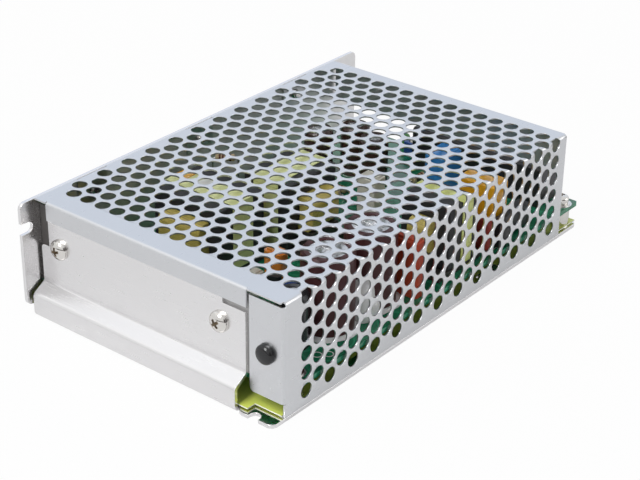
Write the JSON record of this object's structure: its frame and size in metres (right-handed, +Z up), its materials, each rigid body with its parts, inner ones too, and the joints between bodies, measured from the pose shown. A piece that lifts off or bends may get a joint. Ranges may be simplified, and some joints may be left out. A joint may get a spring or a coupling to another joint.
{
  "type": "dc-dc converter",
  "caption": "Enclosed dc-dc converter: folded aluminium chassis with slotted ears, perforated steel cover, circuit board and open screw terminal end.",
  "frame": {"origin": "bottom centre of the enclosure, on the underside of the base", "axes": "+Z up out of the base, +Y along the length towards the terminal end, +X across the width towards the cover's long side"},
  "size_m": [0.097, 0.159, 0.038],
  "materials": {
    "chassis_aluminium": "satin, rolled sheet",
    "cover_steel": "bright zinc plate, satin",
    "plated_steel": "nickel or zinc plate",
    "tinned_metal": "tinned",
    "can_aluminium": "drawn, bare",
    "black_plastic": "moulded, slight gloss",
    "epoxy_black": "moulded epoxy",
    "pad_silicone": "matt silicone",
    "sheet_film": "yellow-green film",
    "board_laminate": "green solder resist",
    "ferrite": "sintered, dark",
    "tape": "pale yellow polyester tape",
    "winding_tape": "taped winding",
    "bobbin_plastic": "moulded",
    "maroon_sleeve": "shrunk sleeve",
    "brown_sleeve": "shrunk sleeve",
    "glue": "white silicone",
    "blue_epoxy": "dipped epoxy",
    "amber_film": "glossy wrap",
    "red_epoxy": "dipped epoxy",
    "orange_epoxy": "dipped epoxy",
    "ceramic_white": "unglazed",
    "trimmer_blue": "moulded",
    "rotor_white": "moulded",
    "lamp_green": "tinted epoxy"
  },
  "bodies": {
    "enclosure": {"chassis": "chassis_aluminium", "cover": "cover_steel", "cover_screws": "plated_steel", "push_rivet": "black_plastic", "end_screws": "plated_steel", "end_nuts": "plated_steel", "insulator_pads": "pad_silicone", "device_tabs": "tinned_metal", "device_bodies": "epoxy_black", "insulating_sheet": "sheet_film", "standoffs": "plated_steel", "circuit_board": "board_laminate", "board_screws": "plated_steel", "board_washers": "plated_steel", "terminal_block": "black_plastic", "terminal_plates": "tinned_metal", "trimmer_body": "trimmer_blue", "indicator_lamp": "lamp_green", "transformer_core": "ferrite", "transformer_winding": "winding_tape", "transformer_belt": "tape", "transformer_bobbin": "bobbin_plastic", "output_choke_core": "ferrite", "output_choke_winding": "winding_tape", "output_choke_belt": "tape", "output_choke_bobbin": "bobbin_plastic", "input_choke_core": "ferrite", "input_choke_winding": "winding_tape", "input_choke_belt": "tape", "input_choke_bobbin": "bobbin_plastic", "bulk_cans": "can_aluminium", "bulk_sleeves": "maroon_sleeve", "glue_bead": "glue", "small_cans": "can_aluminium", "small_sleeves": "brown_sleeve", "blue_capacitor": "blue_epoxy", "amber_capacitor": "amber_film", "red_capacitor": "red_epoxy", "ceramic_resistor": "ceramic_white", "orange_capacitor": "orange_epoxy", "disc_capacitor": "blue_epoxy", "control_chip": "epoxy_black", "fuse_body": "ceramic_white", "fuse_caps": "tinned_metal"},
    "clamp_1": {"terminal_screw_1": "plated_steel"},
    "clamp_2": {"terminal_screw_2": "plated_steel"},
    "clamp_3": {"terminal_screw_3": "plated_steel"},
    "clamp_4": {"terminal_screw_4": "plated_steel"},
    "clamp_5": {"terminal_screw_5": "plated_steel"},
    "adjuster": {"trimmer_rotor": "rotor_white"}
  },
  "joints": [
    {"name": "clamp_1_lift", "type": "slide", "parent": "enclosure", "child": "clamp_1", "axis": [0, 0, 1], "range_m": [0, 0.0035]},
    {"name": "clamp_2_lift", "type": "slide", "parent": "enclosure", "child": "clamp_2", "axis": [0, 0, 1], "range_m": [0, 0.0035]},
    {"name": "clamp_3_lift", "type": "slide", "parent": "enclosure", "child": "clamp_3", "axis": [0, 0, 1], "range_m": [0, 0.0035]},
    {"name": "clamp_4_lift", "type": "slide", "parent": "enclosure", "child": "clamp_4", "axis": [0, 0, 1], "range_m": [0, 0.0035]},
    {"name": "clamp_5_lift", "type": "slide", "parent": "enclosure", "child": "clamp_5", "axis": [0, 0, 1], "range_m": [0, 0.0035]},
    {"name": "adjuster_turn", "type": "hinge", "parent": "enclosure", "child": "adjuster", "pos_m": [-0.0157, 0.0746, 0.0123], "axis": [0, 0, 1], "range_deg": [-135, 135]}
  ]
}
